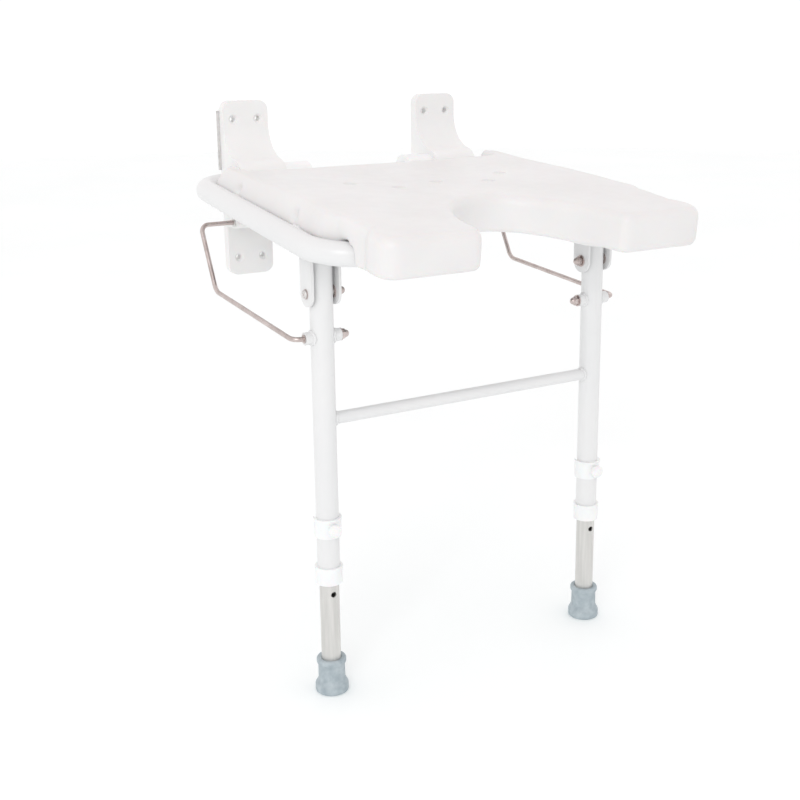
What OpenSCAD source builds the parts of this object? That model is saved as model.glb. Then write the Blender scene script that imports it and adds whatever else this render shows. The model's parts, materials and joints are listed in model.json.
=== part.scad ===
// Fold-up shower seat with a horseshoe pad, two wall brackets and two
// height-adjustable front legs that tuck away on a parallel linkage.
// X runs along the wall, +Y points into the wall and +Z points up. The origin
// is on the wall plane, at the centre of the eight wall screw holes.

/* [Wall brackets] */
// Distance between the centres of the two brackets
bracket_spacing = 276; // [240:1:300]
// Width of a bracket
bracket_w = 60; // [56:1:62]
// Height of a bracket
bracket_h = 218; // [210:1:240]
// Thickness of a bracket's flat ends
bracket_t = 14; // [10:1:18]
// Radius of a bracket's corners, seen from the front
bracket_corner_r = 12; // [6:1:20]
// Radius of the hub that holds the hinge
hub_r = 28; // [26:1:36]
// Radius of the hollow sweep from the upper end down to the hub
flare_r = 44; // [40:1:70]
// Radius of the fillet below the hub
under_r = 16; // [8:1:20]
// Distance between a bracket's two columns of screw holes
bolt_dx = 33; // [28:1:40]
// Distance between the upper and the lower row of screw holes
bolt_dz = 173; // [160:1:180]
// Diameter of a screw hole
bolt_hole_d = 6.5; // [5:0.5:8]
// Thickness of the steel plate behind a bracket
back_plate_t = 2.5; // [1.5:0.5:4]
// How far the steel plate stands out of the bracket's outer side
back_plate_lip = 3.5; // [2:0.5:10]

/* [Seat hinge] */
// Distance from the wall to the hinge axis
hinge_out = 44; // [42:1:48]
// Height of the hinge axis above the centre of the screw holes
hinge_up = 11; // [4:1:12]
// Wall of the bush between the hub and the tube
bush_wall = 4; // [3:0.5:6]
// Length of the bush's collar beside the hub
bush_collar_l = 38; // [20:1:40]
// Radius of the bush's collar
bush_collar_r = 22; // [18:1:24]
// How far the front of the seat slopes down
seat_tilt = 6; // [4:0.5:7]

/* [Seat frame] */
// Outer diameter of the frame tube
tube_d = 25.4; // [22:0.1:25.4]
// Wall of the frame tube
tube_wall = 1.5; // [1:0.1:2.5]
// Distance between the centre lines of the two side tubes
frame_w = 432; // [430:1:440]
// Distance from the hinge axis to the front run of the frame
frame_depth = 354; // [345:1:358]
// Bend radius of the rear corners
rear_bend_r = 38; // [36:1:40]
// Bend radius of the front corners
front_bend_r = 50; // [45:1:55]
// Distance from the centre of the seat to the inner ends of the front run
front_run_end = 112; // [105:1:130]

/* [Seat pad] */
// Width of the pad between the side tubes
pad_w = 404; // [396:1:405]
// Width of the pad at its front edge
pad_front_w = 399; // [385:1:402]
// Distance from the hinge axis to the pad's rear edge
pad_rear = 56; // [54:1:66]
// Distance from the hinge axis to the tips of the pad's rear ears
ear_rear = 18; // [18:1:24]
// Distance from the hinge axis to the pad's front edge
pad_front = 430; // [422:1:436]
// Thickness of the pad
pad_t = 42; // [38:1:44]
// Width of the cut-out at the front edge
cut_w = 166; // [150:1:180]
// Depth of the cut-out
cut_depth = 139; // [110:1:140]
// Radius of the pad's rear corners
pad_rear_r = 18; // [16:1:19]
// Radius of the pad's outer front corners
pad_front_r = 20; // [14:1:24]
// Radius of the pad's corners beside the cut-out
pad_lip_r = 12; // [8:1:20]
// Diameter of a drain hole
drain_d = 9; // [6:1:12]

/* [Legs] */
// Distance between the centre lines of the two legs
leg_spacing = 362; // [350:1:366]
// Distance from the wall to the legs
leg_out = 307; // [304:1:308]
// Height of the screw hole centre above the floor
floor_drop = 544; // [530:1:560]
// Height of the leg pivots above the floor
pivot_h = 465; // [460:1:466]
// Distance from a leg pivot down to the end of its link rod
link_gap = 48; // [46:1:54]
// Height of the crossbar above the floor
crossbar_h = 324; // [250:1:340]
// Outer diameter of the crossbar
crossbar_d = 14; // [10:0.5:20]
// Outer diameter of an outer leg
outer_d = 25.4; // [25.4:0.1:28]
// Wall of the outer and inner legs
leg_wall = 1.5; // [1.2:0.1:1.6]
// How far an outer leg reaches above its pivot
leg_head = 40; // [20:1:40]
// Height of the outer legs' lower ends above the floor
outer_end_h = 137; // [130:1:140]
// Height of the locking pins above the floor
pin_h = 201; // [190:1:206]
// Distance between the height holes
hole_pitch = 26.5; // [20:0.5:27]
// Height of an inner leg's upper end above the floor
inner_top_h = 300; // [290:1:312]

/* [Feet and small parts] */
// Height of a rubber foot
foot_h = 41; // [30:1:50]
// Diameter of a rubber foot's base
foot_d = 38; // [36:1:44]
// Diameter of a link rod
rod_d = 5.5; // [5:0.5:6]
// Distance from the centre of the seat to a link rod's long run
rod_plane = 215; // [210:1:220]
// Diameter of the knob on a locking pin
knob_d = 15; // [12:1:18]

/* [Hidden] */
$fn = 64;

white = [0.95, 0.95, 0.95];
nylon = [0.98, 0.98, 0.99];
steel = [0.72, 0.66, 0.64];
zinc = [0.62, 0.62, 0.62];
grey_alloy = [0.74, 0.73, 0.71];
grey_rubber = [0.52, 0.58, 0.62];
board_grey = [0.45, 0.45, 0.46];

eps = 0.5;
run_gap = 0.05;   // running fit between a shaft and its bore
open_gap = 0.3;   // clearance of the link rods in the leg bushes

bracket_x = bracket_spacing / 2;
bolt_r = bolt_hole_d / 2;
sink_r = bolt_r + 2.8;
tube_r = tube_d / 2;
bush_bore_r = tube_r + run_gap;
bush_r = bush_bore_r + bush_wall;
side_x = frame_w / 2;
outer_r = outer_d / 2;
inner_r = outer_r - leg_wall - 0.1;
leg_x = leg_spacing / 2;
leg_y = -leg_out;
hinge_y = -hinge_out;
rod_r = rod_d / 2;
foot_r = foot_d / 2;

floor_z = -floor_drop;
pivot_z = floor_z + pivot_h;
link_z = pivot_z - link_gap;
pin_z = floor_z + pin_h;
crossbar_z = floor_z + crossbar_h;
rod_pivot_z = hinge_up - link_gap;

// The cross tube is thinner than the frame and lies in its plane, above the leg pivots.
cross_r = tube_r - 1.7;
cross_at = (leg_out - hinge_out) / cos(seat_tilt);
pad_low = -10;
ear_x = bracket_x + bracket_w / 2 + 6.5;
ear_r = 8;
ear_fillet = 14;

// The pad's side follows the inside of the frame's front bends, then swells out to the arms.
bend_at = [side_x - front_bend_r, front_bend_r - frame_depth];
bend_in = front_bend_r - tube_r - 0.7;
swell_r = 40;
swell_y = -pad_front + pad_front_r + 7;

// The legs' cheek plates and pivots, measured from a leg's centre line.
cheek_in = outer_r + 1.8;
cheek_t = 3;
cheek_out = cheek_in + cheek_t;
cheek_w = 28;
bolt_shank_r = 3;
nut_flats = 10;
washer_t = 1.2;
bush_half_l = 21;
link_bush_r = 7;

// The eye lug that carries a link rod on the outer side of a bracket.
eye_in = bracket_x + bracket_w / 2 - 14;
eye_out = bracket_x + bracket_w / 2 + 3;
eye_r = 8;

// A link rod drops forward from its eye, then runs almost level to the leg.
rod_start = [hinge_y, rod_pivot_z];
rod_knee = [hinge_y - 42, rod_pivot_z - 75];
rod_stop = [leg_y, link_z];
rod_bend_r = 10;

// The steel plate behind a bracket
plate_in = bracket_x - 20;
plate_low = 24;
plate_h = 73;

// The stiffening board in the pad's underside, and the tabs that carry it
board_w = 332;
board_t = 6;
board_near = 76;
board_far = 248;
tab_x = 144;
tab_w = 24;
tab_t = 2.5;
tab_at = [100, 230];
screw_r = 2.5;
// Each drain hole: distance from the centre, and distance from the hinge axis
DRAINS = [[101, 178], [60, 216], [0, 198], [-60, 216], [-101, 178]];
// Layers of the pad from its underside up: start, end, and inset of the outline
PAD_LAYERS = [[0, 4, 4], [4, pad_t - 14, 0], [pad_t - 14, pad_t - 8, 2], [pad_t - 8, pad_t - 3, 5],
    [pad_t - 3, pad_t, 9]];

// Mirrors its children to the left side when s is -1.
module sided(s) {
    if (s > 0) children();
    else mirror([1, 0, 0]) children();
}

// Places its children in the seat's own plane, with the origin on the hinge axis.
module in_seat() {
    translate([0, hinge_y, hinge_up]) rotate([seat_tilt, 0, 0]) children();
}

// Extrudes a (y, z) profile along X from x0 to x1.
module along_x(x0, x1) {
    translate([x0, 0, 0]) rotate([90, 0, 90]) linear_extrude(x1 - x0) children();
}

// A round bar along X from x0 to x1.
module x_bar(x0, x1, r) {
    translate([x0, 0, 0]) rotate([0, 90, 0]) cylinder(h = x1 - x0, r = r);
}

// A rectangle with corners of radius r, centred on the origin.
module rounded_rect(w, h, r) {
    square([w - 2 * r, h], center = true);
    square([w, h - 2 * r], center = true);
    for (x = [-1, 1], y = [-1, 1])
        translate([x * (w / 2 - r), y * (h / 2 - r)]) circle(r);
}

// ---- Wall brackets ----

// The bracket's side profile: a plate that sweeps out to a hub below its middle.
module bracket_profile() {
    sweep_y = -bracket_t - flare_r;
    sweep_z = hinge_up + sqrt(pow(flare_r + hub_r, 2) - pow(sweep_y - hinge_y, 2));
    under_y = -bracket_t - under_r;
    under_z = hinge_up - sqrt(pow(under_r + hub_r, 2) - pow(under_y - hinge_y, 2));
    difference() {
        union() {
            translate([-bracket_t, -bracket_h / 2]) square([bracket_t, bracket_h]);
            translate([hinge_y, hinge_up]) circle(hub_r);
            polygon([[-1, sweep_z], [sweep_y, sweep_z], [hinge_y, hinge_up],
                [under_y, under_z], [-1, under_z]]);
        }
        translate([sweep_y, sweep_z]) circle(flare_r);
        translate([under_y, under_z]) circle(under_r);
    }
}

// The eye lug below the hub, seen from the side.
module eye_profile() {
    translate([hinge_y, rod_pivot_z]) circle(eye_r);
    translate([hinge_y, rod_pivot_z - eye_r]) square([hinge_out - bracket_t + 1, 2 * eye_r]);
}

module at_bolts() {
    for (x = [-1, 1], z = [-1, 1])
        translate([bracket_x + x * bolt_dx / 2, 0, z * bolt_dz / 2]) rotate([90, 0, 0]) children();
}

// The pocket behind the bracket that the steel plate fills.
module plate_block(y0, y1) {
    plate_w = bracket_x + bracket_w / 2 + back_plate_lip - plate_in;
    translate([plate_in, y0, plate_low]) cube([plate_w, y1 - y0, plate_h]);
}

module bracket_shape() {
    difference() {
        union() {
            intersection() {
                along_x(bracket_x - bracket_w / 2, bracket_x + bracket_w / 2) bracket_profile();
                translate([bracket_x, 1, 0]) rotate([90, 0, 0])
                    linear_extrude(120) rounded_rect(bracket_w, bracket_h, bracket_corner_r);
            }
            along_x(eye_in, eye_out) eye_profile();
        }
        at_bolts() translate([0, 0, -eps]) cylinder(h = bracket_t + 6, r = bolt_r);
        at_bolts() translate([0, 0, bracket_t - 2.8]) cylinder(h = 2.8, r1 = bolt_r, r2 = sink_r);
        at_bolts() translate([0, 0, bracket_t]) cylinder(h = 6, r = sink_r);
        plate_block(-back_plate_t, eps);
        translate([0, hinge_y, hinge_up]) x_bar(bracket_x - 60, bracket_x + 60, bush_r);
        translate([0, hinge_y, rod_pivot_z]) x_bar(eye_in - 1, eye_out + 1, rod_r + 2);
    }
}

module left_wall_bracket() {
    color(white) sided(-1) bracket_shape();
}

module right_wall_bracket() {
    color(white) sided(1) bracket_shape();
}

module back_plate_shape() {
    difference() {
        plate_block(-back_plate_t, 0);
        at_bolts() translate([0, 0, -eps]) cylinder(h = 5, r = bolt_r);
    }
}

module left_back_plate() {
    color(zinc) sided(-1) back_plate_shape();
}

module right_back_plate() {
    color(zinc) sided(1) back_plate_shape();
}

// A nylon bush through the hub, with a long collar on the inner side.
module hinge_bush_shape() {
    hub_in = bracket_x - bracket_w / 2;
    hub_out = bracket_x + bracket_w / 2;
    translate([0, hinge_y, hinge_up]) difference() {
        union() {
            x_bar(hub_in, hub_out + 2, bush_r);
            x_bar(hub_in - bush_collar_l, hub_in, bush_collar_r);
        }
        x_bar(hub_in - bush_collar_l - 1, hub_out + 3, bush_bore_r);
    }
}

module left_hinge_bush() {
    color(nylon) sided(-1) hinge_bush_shape();
}

module right_hinge_bush() {
    color(nylon) sided(1) hinge_bush_shape();
}

// A steel bush with a flange, in the eye lug.
module rod_eye_shape() {
    translate([0, hinge_y, rod_pivot_z]) difference() {
        union() {
            x_bar(eye_in, eye_out, rod_r + 2);
            x_bar(eye_out, eye_out + 2, rod_r + 2.5);
        }
        x_bar(eye_in - 1, eye_out + 3, rod_r + run_gap);
    }
}

module left_rod_eye() {
    color(zinc) sided(-1) rod_eye_shape();
}

module right_rod_eye() {
    color(zinc) sided(1) rod_eye_shape();
}

// ---- Seat frame ----

// A bend of radius bend_r in the XY plane, through the angle turn from angle a0. It runs
// past both ends by the angle lap, so that the straight lengths sit in it.
module bend(bend_r, a0, r, turn = 90, lap = 0) {
    rotate([0, 0, a0 - lap]) rotate_extrude(angle = turn + 2 * lap) translate([bend_r, 0]) circle(r);
}

// One half of the frame loop, from the middle of the rear run to the inner front end.
module half_loop(r, end_x) {
    x_bar(0, side_x - rear_bend_r, r);
    translate([side_x - rear_bend_r, -rear_bend_r, 0]) bend(rear_bend_r, 0, r);
    translate([side_x, -rear_bend_r, 0]) rotate([90, 0, 0])
        cylinder(h = frame_depth - rear_bend_r - front_bend_r, r = r);
    translate([side_x - front_bend_r, -frame_depth + front_bend_r, 0]) bend(front_bend_r, 270, r);
    translate([0, -frame_depth, 0]) x_bar(end_x, side_x - front_bend_r, r);
}

module loop(r, end_x) {
    for (s = [-1, 1]) sided(s) half_loop(r, end_x);
}

module seat_frame() {
    color(white) in_seat() difference() {
        loop(tube_r, front_run_end);
        loop(tube_r - tube_wall, front_run_end - 1);
    }
}

module front_cross_tube() {
    color(white) in_seat() difference() {
        translate([0, -cross_at, 0]) x_bar(-side_x, side_x, cross_r);
        translate([0, -cross_at, 0]) x_bar(-side_x - 20, side_x + 20, cross_r - tube_wall);
        for (s = [-1, 1])
            translate([s * side_x, 0, 0]) rotate([90, 0, 0]) cylinder(h = frame_depth, r = tube_r);
    }
}

// Plugs in the open inner ends of the frame's front run.
module frame_end_plugs() {
    color(nylon) in_seat() for (s = [-1, 1]) sided(s) translate([0, -frame_depth, 0]) {
        x_bar(front_run_end - 2.5, front_run_end, tube_r);
        x_bar(front_run_end, front_run_end + 12, tube_r - tube_wall);
    }
}

// Calls its children at each of the four screw places, on the tabs' upper face.
module at_tab_screws() {
    for (s = [-1, 1], y = tab_at)
        translate([s * (tab_x + 12), -y, pad_low]) children();
}

// Flat tabs welded under the side tubes, which carry the seat board.
module pad_tabs() {
    color(white) in_seat() difference() {
        for (s = [-1, 1], y = tab_at)
            sided(s) translate([tab_x, -y - tab_w / 2, pad_low - tab_t])
                cube([side_x - tab_x, tab_w, tab_t]);
        for (s = [-1, 1])
            translate([s * side_x, 0, 0]) rotate([90, 0, 0]) cylinder(h = frame_depth, r = tube_r);
        at_tab_screws() translate([0, 0, -tab_t - eps]) cylinder(h = tab_t + 2 * eps, r = screw_r);
    }
}

module pad_screws() {
    color(zinc) in_seat() at_tab_screws() {
        translate([0, 0, -tab_t]) cylinder(h = tab_t + board_t, r = screw_r);
        translate([0, 0, -tab_t - 1.6]) cylinder(h = 1.6, r = 2.4 * screw_r);
        translate([0, 0, -tab_t - 3.8]) cylinder(h = 2.2, r1 = screw_r, r2 = 1.8 * screw_r);
    }
}

// ---- Seat pad ----

// Points of an arc round c, from angle a0 to a1.
function arc(c, r, a0, a1, n) = [for (i = [0:n])
    let (a = a0 + (a1 - a0) * i / n) c + r * [cos(a), sin(a)]];

// The cut-out's edge on the right side, from the lip to the middle of the seat.
function cut_edge(g) = [for (a = [8:8:88])
    [(cut_w / 2 + g) * cos(a), -pad_front + (cut_depth + g) * sin(a)]];

// The right half of the pad's outline, moved inwards by g.
function half_outline(g) = concat(
    arc([ear_x - ear_fillet, -pad_rear + ear_fillet], ear_fillet + g, 270, 348, 5),
    arc([ear_x + ear_r, -ear_rear - ear_r], max(ear_r - g, 0.8), 180, 90, 4),
    arc([pad_w / 2 - pad_rear_r, -ear_rear - pad_rear_r], pad_rear_r - g, 90, 0, 8),
    arc(bend_at, bend_in - g, 0, -45, 5),
    arc([pad_front_w / 2 - swell_r, swell_y], swell_r - g, 35, 0, 4),
    arc([pad_front_w / 2 - pad_front_r, -pad_front + pad_front_r], max(pad_front_r - g, 1), 0, -90, 6),
    arc([cut_w / 2 + 2 + pad_lip_r, -pad_front + pad_lip_r], max(pad_lip_r - g, 1), -90, -170, 6),
    [for (p = cut_edge(g)) if (p[1] > -pad_front + pad_lip_r + 4) p]);

function flip(points) = [for (i = [len(points) - 1:-1:0]) [-points[i][0], points[i][1]]];

module pad_outline(g) {
    half = half_outline(g);
    polygon(concat(half, flip(half)));
}

// The grooves that the frame takes out of the pad's underside.
module frame_channels() {
    reach = tube_r + 0.4;
    deep = reach - pad_low + 1;
    for (s = [-1, 1]) sided(s) {
        translate([-1, -cross_at - reach, pad_low - 1]) cube([side_x + 1, 2 * reach, deep]);
        translate([front_run_end - 4, -frame_depth - reach, pad_low - 1])
            cube([side_x - front_bend_r - front_run_end + 4, 2 * reach, deep]);
        translate([side_x - front_bend_r, -frame_depth + front_bend_r, 0]) rotate([0, 0, 270])
            rotate_extrude(angle = 90)
                translate([front_bend_r - reach, pad_low - 1]) square([2 * reach, deep]);
        translate([leg_x - cheek_out - 4, -cross_at - cheek_w / 2 - 3, pad_low - 1])
            cube([2 * cheek_out + 8, cheek_w + 6, deep]);
    }
}

module board_block(grow) {
    translate([-board_w / 2, -board_far, pad_low - grow])
        cube([board_w, board_far - board_near, board_t + grow]);
}

module drain_holes(r) {
    for (d = DRAINS) translate([d[0], -d[1], pad_low - 2]) cylinder(h = pad_t + 4, r = r);
}

module seat_pad() {
    color(white) in_seat() difference() {
        for (layer = PAD_LAYERS)
            translate([0, 0, pad_low + layer[0]]) linear_extrude(layer[1] - layer[0]) pad_outline(layer[2]);
        frame_channels();
        board_block(1);
        drain_holes(drain_d / 2);
    }
}

module seat_board() {
    color(board_grey) in_seat() difference() {
        board_block(0);
        drain_holes(drain_d / 2 + 2);
        at_tab_screws() translate([0, 0, -eps]) cylinder(h = board_t + 2 * eps, r = screw_r);
    }
}

// ---- Leg pivots ----

// Moves its children to a leg's centre line, at height z.
module at_leg(z) {
    translate([leg_x, leg_y, z]) children();
}

// Two cheek plates that hang from the cross tube and straddle the leg.
module clevis_shape() {
    cross_z = hinge_up - cross_at * sin(seat_tilt);
    difference() {
        for (x0 = [cheek_in, -cheek_out]) translate([leg_x, 0, 0]) along_x(x0, x0 + cheek_t) {
            translate([leg_y, pivot_z]) circle(cheek_w / 2);
            translate([leg_y - cheek_w / 2, pivot_z]) square([cheek_w, cross_z - 6 - pivot_z]);
        }
        translate([0, leg_y, cross_z]) x_bar(leg_x - 40, leg_x + 40, cross_r);
        at_leg(pivot_z) x_bar(-40, 40, bolt_shank_r);
    }
}

module left_leg_clevis() {
    color(white) sided(-1) clevis_shape();
}

module right_leg_clevis() {
    color(white) sided(1) clevis_shape();
}

// A round-headed bolt from the outer side, with a thin washer inside each cheek.
module pivot_bolt_shape() {
    at_leg(pivot_z) {
        x_bar(-cheek_out - 7, cheek_out, bolt_shank_r);
        x_bar(cheek_out, cheek_out + 1, 5.5);
        x_bar(cheek_out + 1, cheek_out + 3, 4);
        for (x0 = [outer_r + 0.4, -cheek_in]) difference() {
            x_bar(x0, x0 + cheek_in - outer_r - 0.4, 7);
            x_bar(x0 - 1, x0 + 3, bolt_shank_r);
        }
    }
}

module left_pivot_bolt() {
    color(steel) sided(-1) pivot_bolt_shape();
}

module right_pivot_bolt() {
    color(steel) sided(1) pivot_bolt_shape();
}

// A washer and a cap nut with its blind hole towards +X, starting at x = 0 and running to -X.
module cap_nut(shank_r, flats, depth) {
    difference() {
        union() {
            x_bar(-washer_t, 0, flats / 2 + 2);
            translate([-washer_t, 0, 0]) rotate([0, -90, 0])
                cylinder(h = flats * 0.55, r = flats / 2 / cos(30), $fn = 6);
            translate([-washer_t - flats * 0.5, 0, 0]) sphere(flats * 0.42);
        }
        x_bar(-depth, 1, shank_r);
    }
}

module left_pivot_nut() {
    color(steel) sided(-1) at_leg(pivot_z) translate([-cheek_out, 0, 0]) cap_nut(bolt_shank_r, nut_flats, 7);
}

module right_pivot_nut() {
    color(steel) sided(1) at_leg(pivot_z) translate([-cheek_out, 0, 0]) cap_nut(bolt_shank_r, nut_flats, 7);
}

// ---- Leg frame ----

module outer_leg_shape() {
    sleeve_r = bolt_shank_r + 2;
    difference() {
        at_leg(floor_z + outer_end_h) cylinder(h = pivot_h + leg_head - outer_end_h, r = outer_r);
        at_leg(floor_z + outer_end_h - 1) cylinder(h = pivot_h + leg_head, r = outer_r - leg_wall);
        at_leg(pivot_z) x_bar(-30, 30, sleeve_r);
        at_leg(link_z) x_bar(-30, 30, link_bush_r);
        at_leg(pin_z) rotate([90, 0, 0]) cylinder(h = 20, r = 3 + run_gap);
    }
}

module left_outer_leg() {
    color(white) sided(-1) outer_leg_shape();
}

module right_outer_leg() {
    color(white) sided(1) outer_leg_shape();
}

// Low plugs that close the upper ends of the outer legs.
module leg_top_plugs() {
    top_z = pivot_z + leg_head;
    color(nylon) for (s = [-1, 1]) sided(s) {
        at_leg(top_z - 12) cylinder(h = 12, r = outer_r - leg_wall);
        at_leg(top_z) cylinder(h = 2, r = outer_r);
    }
}

module leg_crossbar() {
    color(white) difference() {
        translate([0, leg_y, crossbar_z]) x_bar(-leg_x, leg_x, crossbar_d / 2);
        translate([0, leg_y, crossbar_z]) x_bar(-leg_x - 1, leg_x + 1, crossbar_d / 2 - tube_wall);
        for (s = [-1, 1]) sided(s) at_leg(crossbar_z - 20) cylinder(h = 40, r = outer_r);
    }
}

// A steel tube across the leg, which turns on the pivot bolt.
module pivot_sleeve_shape() {
    at_leg(pivot_z) difference() {
        x_bar(-outer_r - 0.1, outer_r + 0.1, bolt_shank_r + 2);
        x_bar(-20, 20, bolt_shank_r + run_gap);
    }
}

module left_pivot_sleeve() {
    color(zinc) sided(-1) pivot_sleeve_shape();
}

module right_pivot_sleeve() {
    color(zinc) sided(1) pivot_sleeve_shape();
}

// A bush across the leg that holds the end of the link rod.
module link_bush_shape() {
    at_leg(link_z) difference() {
        x_bar(-bush_half_l, bush_half_l, link_bush_r);
        x_bar(-bush_half_l - 1, bush_half_l + 1, rod_r + open_gap);
    }
}

module left_link_bush() {
    color(white) sided(-1) link_bush_shape();
}

module right_link_bush() {
    color(white) sided(1) link_bush_shape();
}

// The collar at the lower end of an outer leg guides the inner leg.
module lower_collar_shape() {
    low = floor_z + outer_end_h - 3;
    at_leg(low) difference() {
        union() {
            cylinder(h = 20, r = outer_r + 2.5);
            translate([0, 0, 15]) cylinder(h = 5, r = outer_r + 3);
        }
        translate([0, 0, 3]) cylinder(h = 20, r = outer_r);
        translate([0, 0, -1]) cylinder(h = 6, r = inner_r + run_gap);
    }
}

module left_lower_collar() {
    color(nylon) sided(-1) lower_collar_shape();
}

module right_lower_collar() {
    color(nylon) sided(1) lower_collar_shape();
}

// A clip-on collar, open at the back, with a boss for the locking pin in front.
module pin_collar_shape() {
    grip = outer_r + run_gap;
    at_leg(pin_z - 11) difference() {
        union() {
            cylinder(h = 22, r = outer_r + 2.6);
            translate([0, 0, 19]) cylinder(h = 3, r = outer_r + 3.2);
            translate([0, 0, 11]) rotate([90, 0, 0]) cylinder(h = outer_r + 4.5, r = 6);
        }
        translate([0, 0, -1]) cylinder(h = 24, r = grip);
        translate([-grip, 0, -1]) cube([2 * grip, 30, 24]);
        translate([0, 0, 11]) rotate([90, 0, 0]) cylinder(h = 30, r = 3);
    }
}

module left_pin_collar() {
    color(nylon) sided(-1) pin_collar_shape();
}

module right_pin_collar() {
    color(nylon) sided(1) pin_collar_shape();
}

// A locking pin with a round knob. Its nose stops just short of the inner leg.
module height_pin_shape() {
    knob_at = outer_r + 4.5;
    at_leg(pin_z) rotate([90, 0, 0]) {
        translate([0, 0, inner_r + 0.3]) cylinder(h = knob_at - inner_r - 0.3, r = 3);
        translate([0, 0, knob_at]) cylinder(h = 5.5, r = knob_d / 2);
        translate([0, 0, knob_at + 5.5]) cylinder(h = 1.5, r1 = knob_d / 2, r2 = knob_d / 2 - 2);
    }
}

module left_height_pin() {
    color(nylon) sided(-1) height_pin_shape();
}

module right_height_pin() {
    color(nylon) sided(1) height_pin_shape();
}

// ---- Inner legs ----

// Height holes face the front, one pitch apart, from below the collar up.
module inner_leg_shape() {
    low = floor_z + 6;
    difference() {
        at_leg(low) cylinder(h = inner_top_h - 6, r = inner_r);
        at_leg(low - 1) cylinder(h = inner_top_h, r = inner_r - leg_wall);
        for (i = [-3:3]) at_leg(pin_z + i * hole_pitch) rotate([90, 0, 0]) cylinder(h = 20, r = 3.3);
    }
}

module left_inner_leg() {
    color(grey_alloy) sided(-1) inner_leg_shape();
}

module right_inner_leg() {
    color(grey_alloy) sided(1) inner_leg_shape();
}

// A rubber foot: a cup with a lip, on a wider ring that grips the floor.
module foot_shape() {
    at_leg(floor_z) difference() {
        rotate_extrude() polygon([[0, 0], [foot_r - 2, 0], [foot_r, 2], [foot_r, 9],
            [foot_r - 2.5, 12], [inner_r + 4.5, 14], [inner_r + 4.2, foot_h - 7],
            [inner_r + 5.8, foot_h - 6], [inner_r + 5.8, foot_h - 1], [inner_r + 4.8, foot_h], [0, foot_h]]);
        translate([0, 0, 6]) cylinder(h = foot_h, r = inner_r);
    }
}

module left_foot() {
    color(grey_rubber) sided(-1) foot_shape();
}

module right_foot() {
    color(grey_rubber) sided(1) foot_shape();
}

// ---- Link rods ----

// A straight length of rod towards -Y, from y0 down to y1.
module y_bar(y0, y1) {
    translate([rod_plane, y0, 0]) rotate([90, 0, 0]) cylinder(h = y0 - y1, r = rod_r);
}

// Turns and moves its children so that their -Y direction points along a run of the rod.
module on_run(at, slope) {
    translate([0, at[0], at[1]]) rotate([slope, 0, 0]) children();
}

// One bent rod: out of the eye, forward and down, level to the leg, and in.
module link_rod_shape() {
    drop = rod_knee - rod_start;
    reach = rod_stop - rod_knee;
    steep = atan2(-drop[1], -drop[0]);
    level = atan2(-reach[1], -reach[0]);
    knee_r = 1.6 * rod_bend_r;
    cut_off = knee_r * tan((steep - level) / 2);
    bent_r = rod_r + 0.02;
    lap = 1;
    on_run(rod_start, steep) {
        x_bar(eye_in - 5, rod_plane - rod_bend_r, rod_r);
        translate([rod_plane - rod_bend_r, -rod_bend_r, 0]) bend(rod_bend_r, 0, bent_r, 90, lap);
        y_bar(-rod_bend_r, cut_off - norm(drop));
    }
    on_run(rod_knee, steep) translate([rod_plane, cut_off, knee_r]) rotate([-steep, 0, 0])
        rotate([0, 90, 0]) bend(knee_r, level, bent_r, steep - level, lap);
    on_run(rod_stop, level) {
        y_bar(norm(reach) - cut_off, rod_bend_r);
        translate([rod_plane - rod_bend_r, rod_bend_r, 0]) bend(rod_bend_r, 270, bent_r, 90, lap);
        x_bar(leg_x - bush_half_l - 8, rod_plane - rod_bend_r, rod_r);
    }
}

module left_link_rod() {
    color(steel) sided(-1) link_rod_shape();
}

module right_link_rod() {
    color(steel) sided(1) link_rod_shape();
}

// The cap nut on the rod's inner end, and a washer outside the leg's bush.
module rod_nut_shape() {
    at_leg(link_z) {
        translate([-bush_half_l - 0.3, 0, 0]) cap_nut(rod_r, 10, 8);
        difference() {
            x_bar(bush_half_l + 0.3, bush_half_l + 1.3, rod_r + 1.6);
            x_bar(bush_half_l, bush_half_l + 2, rod_r);
        }
    }
}

module left_rod_nut() {
    color(steel) sided(-1) rod_nut_shape();
}

module right_rod_nut() {
    color(steel) sided(1) rod_nut_shape();
}

// A push-on washer that keeps the rod in the bracket's eye.
module rod_clip_shape() {
    translate([0, hinge_y, rod_pivot_z]) difference() {
        x_bar(eye_in - 1.8, eye_in - 0.3, rod_r + 3);
        x_bar(eye_in - 3, eye_in + 1, rod_r);
    }
}

module left_rod_clip() {
    color(zinc) sided(-1) rod_clip_shape();
}

module right_rod_clip() {
    color(zinc) sided(1) rod_clip_shape();
}

left_wall_bracket();
right_wall_bracket();
left_back_plate();
right_back_plate();
left_hinge_bush();
right_hinge_bush();
left_rod_eye();
right_rod_eye();
seat_frame();
front_cross_tube();
frame_end_plugs();
pad_tabs();
pad_screws();
seat_board();
seat_pad();
left_leg_clevis();
right_leg_clevis();
left_pivot_bolt();
right_pivot_bolt();
left_pivot_nut();
right_pivot_nut();
left_outer_leg();
right_outer_leg();
leg_top_plugs();
leg_crossbar();
left_pivot_sleeve();
right_pivot_sleeve();
left_link_bush();
right_link_bush();
left_lower_collar();
right_lower_collar();
left_pin_collar();
right_pin_collar();
left_height_pin();
right_height_pin();
left_inner_leg();
right_inner_leg();
left_foot();
right_foot();
left_link_rod();
right_link_rod();
left_rod_nut();
right_rod_nut();
left_rod_clip();
right_rod_clip();
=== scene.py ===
"""The looks of a wall-mounted fold-up shower seat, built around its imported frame. Metres."""

import json
import math

import bmesh
import bpy
from mathutils import Matrix, Vector, noise


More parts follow.
